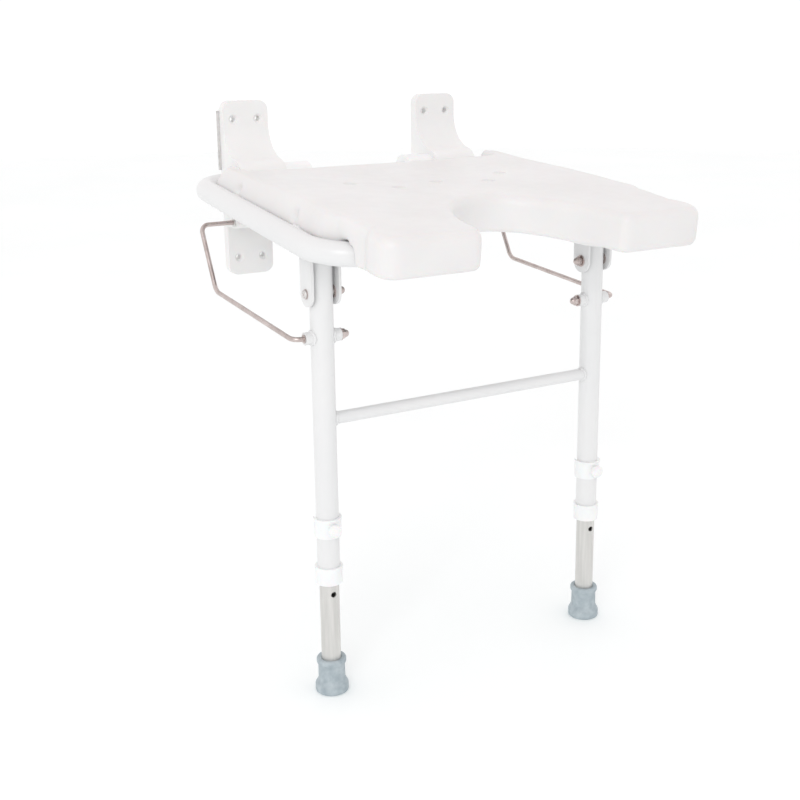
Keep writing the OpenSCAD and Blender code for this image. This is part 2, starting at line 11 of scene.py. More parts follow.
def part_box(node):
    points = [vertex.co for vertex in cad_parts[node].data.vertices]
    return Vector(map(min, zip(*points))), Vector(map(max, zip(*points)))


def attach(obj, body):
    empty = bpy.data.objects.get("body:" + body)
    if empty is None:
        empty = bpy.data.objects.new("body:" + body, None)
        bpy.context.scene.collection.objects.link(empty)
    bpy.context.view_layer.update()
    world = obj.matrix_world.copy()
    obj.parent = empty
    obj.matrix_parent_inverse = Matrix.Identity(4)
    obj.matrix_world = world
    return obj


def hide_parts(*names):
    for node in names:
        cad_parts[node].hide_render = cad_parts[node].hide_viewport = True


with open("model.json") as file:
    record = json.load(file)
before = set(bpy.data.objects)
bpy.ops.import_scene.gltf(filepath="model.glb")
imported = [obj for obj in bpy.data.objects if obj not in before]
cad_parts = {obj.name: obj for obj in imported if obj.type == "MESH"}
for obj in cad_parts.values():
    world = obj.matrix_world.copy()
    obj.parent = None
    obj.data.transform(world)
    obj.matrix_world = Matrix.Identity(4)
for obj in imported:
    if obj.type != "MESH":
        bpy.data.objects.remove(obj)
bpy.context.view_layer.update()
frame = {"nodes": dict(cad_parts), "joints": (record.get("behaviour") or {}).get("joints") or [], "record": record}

# ---------------------------------------------------------------- places in the frame

SIDES = (("left", -1), ("right", 1))
SEAT_TILT = math.radians(6.0)
NUT_FLATS = 0.010
WASHER_T = 0.0012
PLAY = 0.0003  # the clearance that the CAD leaves between pieces that turn on each other


def joint_place(name):
    """The point on a hinge's axis, in the row frame."""
    return Vector(next(j["pos_m"] for j in frame["joints"] if j["name"] == name))


def middle(node):
    """The centre of a CAD node's box."""
    low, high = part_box(node)
    return (low + high) / 2


def extent(node):
    """The size of a CAD node's box."""
    low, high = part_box(node)
    return high - low


HINGE = joint_place("seat_fold")
HINGE.x = 0.0
LEG_PIVOT = joint_place("leg_fold")
LEG_X = middle("right_outer_leg").x
LEG_Y = middle("right_outer_leg").y
LEG_R = extent("right_outer_leg").x / 2
INNER_R = extent("right_inner_leg").x / 2
LINK_Z = middle("right_link_bush").z
CROSSBAR_Z = middle("leg_crossbar").z
CROSSBAR_R = extent("leg_crossbar").z / 2
PIN_Z = middle("right_height_pin").z
FLOOR_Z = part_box("right_foot")[0].z
FRAME_R = extent("frame_end_plugs").y / 2
CROSS_R = extent("front_cross_tube").y / 2
SIDE_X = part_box("seat_frame")[1].x - FRAME_R
SEAT_TURN = Matrix.Rotation(SEAT_TILT, 4, "X")


def from_seat(x, y, z):
    """A point of the seat's own tilted plane, whose origin is on the hinge axis."""
    return HINGE + SEAT_TURN @ Vector((x, y, z))


def into_seat(point):
    """The seat's own coordinates of a point in the row frame."""
    return SEAT_TURN.inverted() @ (point - HINGE)


CROSS_Y = into_seat(middle("front_cross_tube")).y


# ---------------------------------------------------------------- mesh helpers

SHARP = math.radians(38)


def mesh_object(name, verts, faces, smooth=True):
    """A new object from vertices and faces, with its normals turned outwards."""
    mesh = bpy.data.meshes.new(name)
    mesh.from_pydata([tuple(v) for v in verts], [], faces)
    obj = bpy.data.objects.new(name, mesh)
    bpy.context.scene.collection.objects.link(obj)
    work = bmesh.new()
    work.from_mesh(mesh)
    bmesh.ops.recalc_face_normals(work, faces=work.faces)
    work.to_mesh(mesh)
    work.free()
    mesh.polygons.foreach_set("use_smooth", [smooth] * len(mesh.polygons))
    if smooth:
        mesh.set_sharp_from_angle(angle=SHARP)
    return obj


def bake(obj):
    """Replaces an object's mesh with what its modifiers make of it."""
    bpy.context.view_layer.update()
    made = obj.evaluated_get(bpy.context.evaluated_depsgraph_get())
    mesh = bpy.data.meshes.new_from_object(made)
    obj.modifiers.clear()
    obj.data = mesh
    return obj


def cut(obj, cutter):
    """Takes one closed mesh out of another and throws the cutter away."""
    modifier = obj.modifiers.new("cut", "BOOLEAN")
    modifier.operation = "DIFFERENCE"
    modifier.solver = "EXACT"
    modifier.object = cutter
    bake(obj)
    bpy.data.objects.remove(cutter)
    return obj


def soften(obj, width, segments, angle=35, harden=True):
    """Rounds an object's edges that are sharper than an angle."""
    modifier = obj.modifiers.new("soften", "BEVEL")
    modifier.width = width
    modifier.segments = segments
    modifier.limit_method = "ANGLE"
    modifier.angle_limit = math.radians(angle)
    modifier.harden_normals = harden


def ring_faces(rings, sides, closed):
    """Quads that join rings of vertices one after another."""
    faces = []
    last = rings if closed else rings - 1
    for i in range(last):
        j = (i + 1) % rings
        for k in range(sides):
            m = (k + 1) % sides
            faces.append((i * sides + k, j * sides + k, j * sides + m, i * sides + m))
    return faces


def capped(name, verts, rings, sides):
    """A closed solid from rings of vertices, with its two ends filled in."""
    faces = ring_faces(rings, sides, False)
    faces.append(tuple(range(sides)))
    faces.append(tuple(range((rings - 1) * sides, rings * sides)))
    return mesh_object(name, verts, faces)


def lathe(name, profile, at, axis, sides=48):
    """A turned piece: (radius, height) pairs swept round an axis that starts at a point."""
    turn = Vector((0, 0, 1)).rotation_difference(Vector(axis)).to_matrix()
    verts = []
    for radius, height in profile:
        for k in range(sides):
            a = 2 * math.pi * k / sides
            place = Vector((radius * math.cos(a), radius * math.sin(a), height))
            verts.append(Vector(at) + turn @ place)
    return capped(name, verts, len(profile), sides)


def sweep(name, points, radius, sides=10):
    """A tube along a closed path. radius gives the tube's radius at a point's index."""
    count = len(points)
    verts = []
    side = Vector((0.3, 0.5, 0.8))  # a start that no path here runs along
    for i, point in enumerate(points):
        along = (points[(i + 1) % count] - points[i - 1]).normalized()
        side = (side - along * side.dot(along)).normalized()
        other = along.cross(side)
        r = radius(i)
        for k in range(sides):
            a = 2 * math.pi * k / sides
            verts.append(point + r * (math.cos(a) * side + math.sin(a) * other))
    return mesh_object(name, verts, ring_faces(count, sides, True))


def joined(name, objects):
    """Joins objects into the first one and renames it."""
    work = bmesh.new()
    for obj in objects:
        work.from_mesh(obj.data)
    mesh = bpy.data.meshes.new(name)
    work.to_mesh(mesh)
    work.free()
    for obj in objects:
        bpy.data.objects.remove(obj)
    mesh.polygons.foreach_set("use_smooth", [True] * len(mesh.polygons))
    mesh.set_sharp_from_angle(angle=SHARP)
    result = bpy.data.objects.new(name, mesh)
    bpy.context.scene.collection.objects.link(result)
    return result


# ---------------------------------------------------------------- materials


class Finish:
    """One procedural material: a Principled shader and the nodes that feed it."""

    def __init__(self, name, **sockets):
        self.material = bpy.data.materials.new(name)
        self.material.use_nodes = True
        self.tree = self.material.node_tree
        self.shader = self.tree.nodes["Principled BSDF"]
        for socket, value in sockets.items():
            self.shader.inputs[socket.replace("_", " ")].default_value = value
        self.place = self.tree.nodes.new("ShaderNodeTexCoord").outputs["Object"]
        self.height = None

    def stretched(self, scale):
        """Object coordinates, stretched by a scale along each axis."""
        node = self.tree.nodes.new("ShaderNodeMapping")
        node.inputs["Scale"].default_value = scale
        self.tree.links.new(self.place, node.inputs["Vector"])
        return node.outputs["Vector"]

    def noise(self, scale, detail=3.0, stretch=(1, 1, 1), rough=0.5):
        """A noise pattern; scale is in bumps per metre."""
        node = self.tree.nodes.new("ShaderNodeTexNoise")
        node.inputs["Scale"].default_value = scale
        node.inputs["Detail"].default_value = detail
        node.inputs["Roughness"].default_value = rough
        self.tree.links.new(self.stretched(stretch), node.inputs["Vector"])
        return node.outputs["Fac"]

    def cells(self, scale):
        """A pattern of small round cells."""
        node = self.tree.nodes.new("ShaderNodeTexVoronoi")
        node.inputs["Scale"].default_value = scale
        self.tree.links.new(self.place, node.inputs["Vector"])
        return node.outputs["Distance"]

    def colour(self, pattern, low, high, start=0.3, stop=0.7):
        """Runs the base colour from low to high over a pattern."""
        node = self.tree.nodes.new("ShaderNodeValToRGB")
        node.color_ramp.elements[0].position = start
        node.color_ramp.elements[0].color = (*low, 1)
        node.color_ramp.elements[1].position = stop
        node.color_ramp.elements[1].color = (*high, 1)
        self.tree.links.new(pattern, node.inputs["Fac"])
        self.tree.links.new(node.outputs["Color"], self.shader.inputs["Base Color"])
        return self

    def rough(self, pattern, low, high):
        """Runs the roughness from low to high over a pattern."""
        node = self.tree.nodes.new("ShaderNodeMapRange")
        node.inputs["From Min"].default_value = 0.3
        node.inputs["From Max"].default_value = 0.7
        node.inputs["To Min"].default_value = low
        node.inputs["To Max"].default_value = high
        self.tree.links.new(pattern, node.inputs["Value"])
        self.tree.links.new(node.outputs["Result"], self.shader.inputs["Roughness"])
        return self

    def bump(self, pattern, depth, strength):
        """Adds relief of a depth in metres on top of what is there."""
        node = self.tree.nodes.new("ShaderNodeBump")
        node.inputs["Distance"].default_value = depth
        node.inputs["Strength"].default_value = strength
        self.tree.links.new(pattern, node.inputs["Height"])
        if self.height is not None:
            self.tree.links.new(self.height, node.inputs["Normal"])
        self.height = node.outputs["Normal"]
        self.tree.links.new(self.height, self.shader.inputs["Normal"])
        return self


def white_enamel():
    """Powder coat: a hard white gloss, a little uneven in tone."""
    f = Finish("white_enamel", Specular_IOR_Level=0.6)
    f.colour(f.noise(9, 4), (0.745, 0.75, 0.755), (0.775, 0.775, 0.775))
    f.rough(f.noise(60, 3), 0.28, 0.32)
    return f.material


def bracket_plastic():
    """Moulded white plastic with a fine spark-eroded grain and slow sink marks."""
    f = Finish("bracket_plastic", Subsurface_Weight=0.06, Subsurface_Scale=0.004)
    f.colour(f.noise(14, 5), (0.81, 0.805, 0.80), (0.85, 0.845, 0.84))
    f.rough(f.noise(90, 4), 0.34, 0.46)
    f.bump(f.noise(3200, 2), 0.00001, 0.5)
    f.bump(f.noise(28, 2), 0.0012, 0.12)
    return f.material


def white_nylon():
    """Brighter white nylon for the collars, clips, bushes and plugs."""
    f = Finish("white_nylon", Subsurface_Weight=0.12, Subsurface_Scale=0.005)
    f.colour(f.noise(40, 3), (0.85, 0.855, 0.86), (0.88, 0.88, 0.88))
    f.rough(f.noise(300, 3), 0.3, 0.42)
    f.bump(f.noise(1800, 3), 0.00001, 0.5)
    return f.material


def seat_foam():
    """Integral-skin foam: a close white skin with a soft sheen and tiny pores."""
    f = Finish("seat_foam", Subsurface_Weight=0.1, Subsurface_Scale=0.01, Sheen_Weight=0.08)
    f.colour(f.noise(11, 5), (0.742, 0.732, 0.730), (0.782, 0.773, 0.771))
    f.rough(f.noise(70, 4), 0.34, 0.46)
    f.bump(f.noise(24, 3), 0.0016, 0.1)
    f.bump(f.cells(1500), 0.00003, 0.35)
    f.bump(f.noise(3800, 2), 0.00001, 0.5)
    return f.material


def drawn_steel():
    """Drawn rod and fasteners, with lengthwise scratches and a reddish cast."""
    f = Finish("drawn_steel", Metallic=1.0)
    f.colour(f.noise(60, 5), (0.46, 0.39, 0.37), (0.66, 0.58, 0.56))
    f.rough(f.noise(700, 4, (4, 0.3, 0.3)), 0.22, 0.42)
    f.bump(f.noise(1500, 3, (6, 0.4, 0.4)), 0.00004, 0.6)
    return f.material


def zinc_plate():
    """Dull zinc plating with a spangled tone."""
    f = Finish("zinc_plate", Metallic=0.9)
    f.colour(f.cells(160), (0.60, 0.59, 0.58), (0.74, 0.73, 0.72), 0.05, 0.6)
    f.rough(f.noise(240, 4), 0.38, 0.58)
    f.bump(f.noise(900, 3), 0.00005, 0.5)
    return f.material


def satin_alloy():
    """Anodised inner tube: warm grey, drawn lengthwise, lightly rubbed."""
    f = Finish("satin_alloy", Metallic=0.5)
    f.colour(f.noise(50, 4, (6, 6, 0.3)), (0.6, 0.595, 0.575), (0.7, 0.69, 0.67))
    f.rough(f.noise(420, 4, (4, 4, 0.15)), 0.34, 0.5)
    f.bump(f.noise(2200, 3, (3, 3, 0.06)), 0.00003, 0.6)
    return f.material


def grey_rubber():
    """Blue-grey moulded rubber with a dusty bloom and a pitted skin."""
    f = Finish("grey_rubber", Specular_IOR_Level=0.35)
    f.colour(f.noise(120, 6), (0.34, 0.40, 0.435), (0.47, 0.53, 0.56))
    f.rough(f.noise(90, 4), 0.55, 0.78)
    f.bump(f.noise(1400, 4), 0.00012, 0.6)
    f.bump(f.cells(420), 0.0002, 0.25)
    return f.material


def board_laminate():
    """The dark stiffening board, with a fibrous face."""
    f = Finish("board_laminate")
    f.colour(f.noise(300, 6, (0.15, 2, 1)), (0.1, 0.1, 0.105), (0.2, 0.2, 0.205))
    f.rough(f.noise(160, 3), 0.55, 0.75)
    f.bump(f.noise(900, 4, (0.2, 2, 1)), 0.0001, 0.5)
    return f.material


FINISHES = {
    "white_enamel": white_enamel(),
    "bracket_white": bracket_plastic(),
    "white_nylon": white_nylon(),
    "seat_foam": seat_foam(),
    "bright_steel": drawn_steel(),
    "zinc_steel": zinc_plate(),
    "grey_alloy": satin_alloy(),
    "grey_rubber": grey_rubber(),
    "board": board_laminate(),
}


def dress(obj, slot):
    """Gives an object one finish."""
    obj.data.materials.clear()
    obj.data.materials.append(FINISHES[slot])
    return obj


def piece(obj, body, slot, *nodes):
    """Dresses a new piece, seats it on its body and hides the CAD nodes it stands for."""
    dress(obj, slot)
    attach(obj, body)
    if nodes:
        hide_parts(*nodes)
    return obj


def dress_cad():
    """Every carried CAD node takes the finish of its material slot."""
    for part in frame["record"]["subparts"]:
        obj = frame["nodes"][part["node"]]
        for slot in obj.material_slots:
            slot.material = FINISHES[part["material_slot"]]


# ---------------------------------------------------------------- seat pad

# Places in the seat's own plane, with the hinge axis at zero and the front at negative Y.
PAD_LOW = -0.010
PAD_TOP = 0.032
PAD_LAP = 0.0032  # how far the pad lies over the inside of the side tubes
PAD_W = SIDE_X - FRAME_R + PAD_LAP
PAD_FRONT_W = 0.1970
PAD_REAR = 0.056
PAD_FRONT = 0.434
REAR_R = 0.022
FRONT_R = 0.020
SWELL_R = 0.040
SWELL_Y = FRONT_R + 0.007 - PAD_FRONT
SWELL_ANGLE = 35

# The two ears, which reach back beside the wall brackets.
EAR_REAR = 0.018
EAR_X = 0.1745
EAR_R = 0.008
EAR_FILLET = 0.014

# The cut-out in the front edge, part of an ellipse between two rounded lips.
CUT_W = 0.083
CUT_DEPTH = 0.143
LIP_R = 0.012
LIP_OUT = 0.002

# The bends of the frame tube, and the front ends of its two runs under the pad.
FRAME_DEPTH = 0.354
FRONT_BEND_R = 0.050
REAR_BEND_R = 0.038
BEND_IN = FRONT_BEND_R - FRAME_R + PAD_LAP
FRONT_RUN_END = 0.112

# The rounding of the pad's top edge: how far it reaches in, how far down, and how straight it is.
SIDE_EDGE = (0.0150, 0.0250, 0.6)
BEND_EDGE = (0.0065, 0.0120, 0.1)
FRONT_EDGE = (0.011, 0.012, 0.0)
REAR_EDGE = (0.012, 0.013, 0.0)
CUT_EDGE = (0.010, 0.011, 0.0)
LOW_ROUND = 0.007
STRAIGHT = 1.0  # stands for the radius of a stretch that has no corner
CORNER_SHARE = 0.85  # how much of a corner's radius an edge may take

# The top climbs to the front, is dished in the middle and wavers a little.
CLIMB = 0.0085
REAR_SINK = 0.0040
DISH = 0.004
DISH_W = 0.135
WAVER = 0.0004
WAVES = 22.0
FRONT_LIFT = 0.0035
RELIEF_LOW = 0.004  # the relief fades out from the top down to this height

# The moulded scoops in the pad's sides: places, half length, half width, depth and direction.
SCOOPS = ((0.2025, -0.096, 0.0165), (0.2025, -0.249, 0.0175))
SCOOP_LONG = 0.0062
SCOOP_WIDE = 0.0052
SCOOP_DEEP = 0.0052
SCOOP_WAY = (0.85, 0.52)

# The drain holes, each with a funnel round it.
DRAIN_R = 0.0040
DRAIN_RIM = 0.0080
DRAIN_FUNNEL = 0.0045
DRAINS = ((-0.101, 0.178), (-0.060, 0.216), (0.0, 0.198), (0.060, 0.216), (0.101, 0.178))

# What is cut out below: the gap left round each thing, and how far the cutters reach below the pad.
GAP = 0.0006
CUT_BELOW = 0.004
SKIRT = SIDE_X - FRAME_R - 0.0013
CLEVIS_ROOM = 0.004
CLEVIS_HALF_Y = 0.017
BOARD_TOP = 0.0063


def arc(cx, cy, r, a0, a1, count, sign=1):
    """Points of a corner: place, the way it moves when the outline shrinks, and its radius."""
    points = []
    for i in range(count + 1):
        a = math.radians(a0 + (a1 - a0) * i / count)
        out = Vector((math.cos(a), math.sin(a)))
        points.append((Vector((cx, cy)) + r * out, -sign * out, r))
    return points


def half_outline():
    """The right half of the pad's outline, from the middle of the rear to the cut-out."""
    points = [(Vector((0.0, -PAD_REAR)), Vector((0, -1)), STRAIGHT)]
    points += arc(EAR_X - EAR_FILLET, -PAD_REAR + EAR_FILLET, EAR_FILLET, 270, 348, 8, sign=-1)
    points += arc(EAR_X + EAR_R, -EAR_REAR - EAR_R, EAR_R, 180, 90, 8)
    points += arc(PAD_W - REAR_R, -EAR_REAR - REAR_R, REAR_R, 90, 0, 10)
    points += arc(SIDE_X - FRONT_BEND_R, FRONT_BEND_R - FRAME_DEPTH, BEND_IN, 0, -45, 8)
    points += arc(PAD_FRONT_W - SWELL_R, SWELL_Y, SWELL_R, SWELL_ANGLE, 0, 6)
    points += arc(PAD_FRONT_W - FRONT_R, -PAD_FRONT + FRONT_R, FRONT_R, 0, -90, 12)
    points += arc(CUT_W + LIP_OUT + LIP_R, -PAD_FRONT + LIP_R, LIP_R, -90, -170, 10)
    for step in range(10, 90, 4):
        a = math.radians(step)
        way = Vector((math.cos(a), math.sin(a)))
        place = Vector((CUT_W * way.x, -PAD_FRONT + CUT_DEPTH * way.y))
        if place.y > -PAD_FRONT + LIP_R + 0.004:
            points.append((place, way, STRAIGHT))
    points.append((Vector((0.0, -PAD_FRONT + CUT_DEPTH)), Vector((0, 1)), STRAIGHT))
    return points


def pad_outline(step):
    """The whole outline, resampled at an even step."""
    right = half_outline()
    left = [(Vector((-p.x, p.y)), Vector((-w.x, w.y)), r) for p, w, r in reversed(right[1:-1])]
    loop = right + left
    even = []
    for i, (p, w, r) in enumerate(loop):
        q, v, s = loop[(i + 1) % len(loop)]
        count = max(1, round((q - p).length / step))
        for k in range(count):
            t = k / count
            even.append((p.lerp(q, t), w.lerp(v, t), r + (s - r) * t))
    return even


def edge_round(place):
    """The rounding of the pad's top edge at a place on its outline."""
    beside = abs(place.x) > EAR_X + 0.0015
    if beside and place.y > FRONT_BEND_R - FRAME_DEPTH - 0.011:
        return SIDE_EDGE
    if beside and place.y > -0.400:
        return BEND_EDGE
    if place.y < FRONT_R - PAD_FRONT:
        return FRONT_EDGE
    if place.y > -0.09:
        return REAR_EDGE
    return CUT_EDGE


def smoothed(values, reach):
    """A moving average round a closed list."""
    count = len(values)
    span = range(-reach, reach + 1)
    return [sum(values[(i + k) % count] for k in span) / len(span) for i in range(count)]


def pad_blank():
    """The pad's closed shape before its grooves, dimples and holes."""
    outline = pad_outline(step=0.004)
    rounds = [edge_round(place) for place, way, radius in outline]
    sideways, down, straight = (smoothed(values, reach=7) for values in zip(*rounds))
    levels = [("low", a) for a in range(0, 91, 22)] + [("top", a) for a in range(0, 91, 15)]
    verts = []
    for kind, angle in levels:
        a = math.radians(angle)
        for i, (place, way, radius) in enumerate(outline):
            cap = CORNER_SHARE * radius
            if kind == "low":
                inset = min(LOW_ROUND, cap) * (1 - math.sin(a))
                z = PAD_LOW + LOW_ROUND * (1 - math.cos(a))
            else:
                even = angle / 90
                inset = min(sideways[i], cap) * (1 - math.cos(a) + straight[i] * (even + math.cos(a) - 1))
                z = PAD_TOP - down[i] * (1 - math.sin(a) + straight[i] * (math.sin(a) - even))
            flat = place + way * inset
            verts.append(Vector((flat.x, flat.y, z)))
    return capped("seat_cushion", verts, len(levels), len(outline))


def trough(points, reach):
    """A cutter for a tube in the pad's underside: open below, round above, along a path."""
    section = [(-reach, PAD_LOW - CUT_BELOW)]
    section += [(-reach * math.cos(math.radians(a)), reach * math.sin(math.radians(a)))
                for a in range(0, 181, 20)]
    section += [(reach, PAD_LOW - CUT_BELOW)]
    verts = []
    for i, point in enumerate(points):
        ahead = points[min(i + 1, len(points) - 1)]
        behind = points[max(i - 1, 0)]
        along = (ahead - behind).normalized()
        across = Vector((-along.y, along.x))
        for offset, z in section:
            flat = point + across * offset
            verts.append(Vector((flat.x, flat.y, z)))
    return capped("trough", verts, len(points), len(section))


def block(low, high):
    """A plain box that only ever cuts."""
    corners = [Vector((x, y, z))
               for z in (low[2], high[2]) for y in (low[1], high[1]) for x in (low[0], high[0])]
    faces = [(0, 1, 3, 2), (4, 5, 7, 6), (0, 1, 5, 4), (2, 3, 7, 6), (0, 2, 6, 4), (1, 3, 7, 5)]
    return mesh_object("block", corners, faces)


def bend_run(side, r, at_y, start, stop, step):
    """Points along a bend of the frame tube beside the pad, from one angle to another."""
    points = []
    for angle in range(start, stop + 1, step):
        a = math.radians(angle)
        points.append(Vector((side * (SIDE_X - r + r * math.cos(a)), at_y + r * math.sin(a))))
    return points


def pad_grooves(pad):
    """Cuts the seats of the frame, the cross tube, the board and the leg brackets."""
    low = PAD_LOW - CUT_BELOW
    reach = extent("right_leg_clevis").x / 2 + CLEVIS_ROOM
    for side in (-1, 1):
        run = [Vector((side * (FRONT_RUN_END - 0.004), -FRAME_DEPTH))]
        run += bend_run(side, FRONT_BEND_R, FRONT_BEND_R - FRAME_DEPTH, 270, 360, 10)
        run += bend_run(side, REAR_BEND_R, -REAR_BEND_R, 0, 90, 15)
        cut(pad, trough(run, FRAME_R + GAP))
        ends = [min(max(side * LEG_X + way * reach, -SKIRT), SKIRT) for way in (-1, 1)]
        cut(pad, block((ends[0], CROSS_Y - CLEVIS_HALF_Y, low),
                       (ends[1], CROSS_Y + CLEVIS_HALF_Y, CROSS_R + GAP)))
    cut(pad, trough([Vector((-SKIRT, CROSS_Y)), Vector((SKIRT, CROSS_Y))], CROSS_R + GAP))
    board = [into_seat(p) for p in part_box("seat_board")]
    cut(pad, block((board[0].x - GAP, board[0].y, low), (board[1].x + GAP, board[1].y, PAD_LOW + BOARD_TOP)))
    return pad


def ease(t):
    """A smooth step from 0 to 1."""
    t = min(max(t, 0.0), 1.0)
    return t * t * (3.0 - 2.0 * t)


def dish(x, y):
    """How far the top of the pad dips at a place."""
    along = min(max((-y - 0.05) / 0.06, 0.0), 1.0) * min(max((PAD_FRONT + y) / 0.12, 0.0), 1.0)
    return DISH * math.exp(-((x / DISH_W) ** 4)) * along


def rise(x, y):
    """How far the top of the pad stands above its flat level: it climbs from the rear to the front."""
    return CLIMB * ease((-y - 0.03) / 0.25) - REAR_SINK - dish(x, y)


def pad_relief(point):
    """Moves a point of the pad: the climbing, dished top, a slight waver and the scoops in the sides."""
    x, y, z = point
    high = min(max((z - RELIEF_LOW) / (PAD_TOP - RELIEF_LOW), 0.0), 1.0)
    waver = WAVER * noise.noise(Vector((x, y, z)) * WAVES) * high
    lift = FRONT_LIFT * ease((-y - 0.372) / 0.035) * (1.0 - high)
    moved = Vector((x, y, z + rise(x, y) * high + waver + lift))
    out, up = SCOOP_WAY
    for scoop_x, scoop_y, scoop_z in SCOOPS:
        along = (y - scoop_y) / SCOOP_LONG
        across = math.hypot(abs(x) - scoop_x, z - scoop_z) / SCOOP_WIDE
        depth = SCOOP_DEEP * math.exp(-(along ** 2) - across ** 2)
        moved -= depth * Vector((out * math.copysign(1.0, x), 0, up))
    return moved


def seat_cushion():
    """The moulded foam pad, in the seat's plane and then tilted into the row frame."""
    pad = pad_grooves(pad_blank())
    remesh = pad.modifiers.new("even", "REMESH")
    remesh.mode = "VOXEL"
    remesh.voxel_size = 0.0026
    relax = pad.modifiers.new("relax", "SMOOTH")
    relax.factor = 0.5
    relax.iterations = 4
    bake(pad)
    for vertex in pad.data.vertices:
        vertex.co = pad_relief(vertex.co)
    for x, y in DRAINS:
        top = PAD_TOP + rise(x, -y)
        funnel = [(DRAIN_R, PAD_LOW - 0.01), (DRAIN_R, top - DRAIN_FUNNEL), (DRAIN_RIM, top),
                  (DRAIN_RIM + 0.004, top + 0.006)]
        cut(pad, lathe("drain", funnel, (x, -y, 0), (0, 0, 1), 36))
    pad.data.transform(Matrix.Translation(HINGE) @ SEAT_TURN)
    pad.data.polygons.foreach_set("use_smooth", [True] * len(pad.data.polygons))
    soften(pad, 0.0006, 2, angle=60, harden=False)
    bake(pad)
    piece(pad, "seat", "seat_foam", "seat_pad")
    return pad


# ---------------------------------------------------------------- welds

RIPPLE = 6  # points along a bead from one ripple to the next
BORE_CLEAR = 0.0007  # keeps the beads on the legs out of their bores


def bead(name, points, radius, body):
    """A painted weld: a rippled bead round a joint."""

    def lump(i):
        return radius * (1.0 + 0.13 * math.cos(2 * math.pi * i / RIPPLE)
                         + 0.12 * noise.noise(points[i] * 260.0))

    piece(sweep(name, points, lump), body, "white_enamel")


def saddle(bar_r, post_r, count):
    """Where a bar along X meets a post along Z at the origin, on the +X side."""
    points = []
    for i in range(count):
        a = 2 * math.pi * i / count
        y, z = bar_r * math.cos(a), bar_r * math.sin(a)
        points.append(Vector((math.sqrt(max(post_r ** 2 - y ** 2, 0.0)), y, z)))
    return points


def leg_welds():
    """Beads round the crossbar and the link bushes, where they meet the legs, clear of the bores."""
    post_r = LEG_R + BORE_CLEAR
    for side, sign in SIDES:
        leg = Vector((sign * LEG_X, LEG_Y, 0))
        ring = saddle(CROSSBAR_R, post_r, 60)
        points = [leg + Vector((-sign * p.x, p.y, p.z + CROSSBAR_Z)) for p in ring]
        bead(f"{side}_crossbar_weld", points, 0.0017, "leg_frame")
        ring = saddle(extent("right_link_bush").z / 2, post_r, 60)
        for way, word in ((-1, "inner"), (1, "outer")):
            points = [leg + Vector((way * sign * p.x, p.y, p.z + LINK_Z)) for p in ring]
            bead(f"{side}_{word}_bush_weld", points, 0.0016, "leg_frame")


def frame_welds():
    """Beads round the cross tube's ends, on the side tubes."""
    for side, sign in SIDES:
        points = []
        for i in range(72):
            a = 2 * math.pi * i / 72
            y, z = CROSS_R * math.cos(a), CROSS_R * math.sin(a)
            points.append(from_seat(sign * (SIDE_X - math.sqrt(FRAME_R ** 2 - z ** 2)), CROSS_Y + y, z))
        bead(f"{side}_cross_tube_weld", points, 0.0018, "seat")


# ---------------------------------------------------------------- fasteners, knobs and feet


def washer(radius, thick, at, way):
    """A flat washer with rounded edges."""
    soft = 0.0003
    profile = [(radius - soft, 0), (radius, soft), (radius, thick - soft), (radius - soft, thick)]
    return lathe("washer", profile, at, way, 40)


def cap_nut(flats, at, way):
    """A chamfered hexagon nut with a domed end, on a washer."""
    hexagon = flats / 2 / math.cos(math.radians(30))
    tall = 0.55 * flats - WASHER_T
    start = Vector(at) + Vector(way) * WASHER_T
    body = [(0.9 * hexagon, 0), (hexagon, 0.0005), (hexagon, tall - 0.0006), (0.88 * hexagon, tall)]
    ball = 0.42 * flats
    dome = [(0.47 * flats, tall - 0.0004), (0.46 * flats, tall)]
    dome += [(ball * math.cos(math.radians(a)), 0.5 * flats + ball * math.sin(math.radians(a)))
             for a in range(10, 90, 10)]
    return joined("nut", [washer(flats / 2 + 0.002, WASHER_T, at, way),
                          lathe("hexagon", body, start, way, 6), lathe("dome", dome, start, way, 32)])


def end_of(node, sign):
    """The X of a CAD node's outer end on one side of the seat."""
    low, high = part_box(node)
    return low.x if sign < 0 else high.x


def fasteners():
    """The cap nuts on the pivots and the rods, and the round heads of the pivot bolts."""
    bush_end = extent("right_link_bush").x / 2 + PLAY
    head_profile = [(0.0046, -0.0020), (0.0048, -0.0016), (0.0046, -0.0008), (0.0040, -0.0002),
                    (0.0030, 0.0003), (0.0019, 0.0005), (0.0017, 0.0003), (0.0015, -0.0012)]
    for side, sign in SIDES:
        inward = (-sign, 0, 0)
        outward = (sign, 0, 0)
        nut = cap_nut(NUT_FLATS, (end_of(f"{side}_pivot_nut", sign), LEG_Y, LEG_PIVOT.z), inward)
        nut.name = f"{side}_pivot_cap_nut"
        piece(nut, "seat", "bright_steel", f"{side}_pivot_nut")
        nut = cap_nut(NUT_FLATS, (sign * (LEG_X - bush_end), LEG_Y, LINK_Z), inward)
        ring = washer(0.0046, 0.001, (sign * (LEG_X + bush_end), LEG_Y, LINK_Z), outward)
        nut = joined(f"{side}_rod_cap_nut", [nut, ring])
        piece(nut, f"{side}_link", "bright_steel", f"{side}_rod_nut")
        head_at = (end_of(f"{side}_pivot_bolt", sign), LEG_Y, LEG_PIVOT.z)
        head = lathe(f"{side}_pivot_head", head_profile, head_at, outward, 36)
        piece(head, "seat", "zinc_steel")


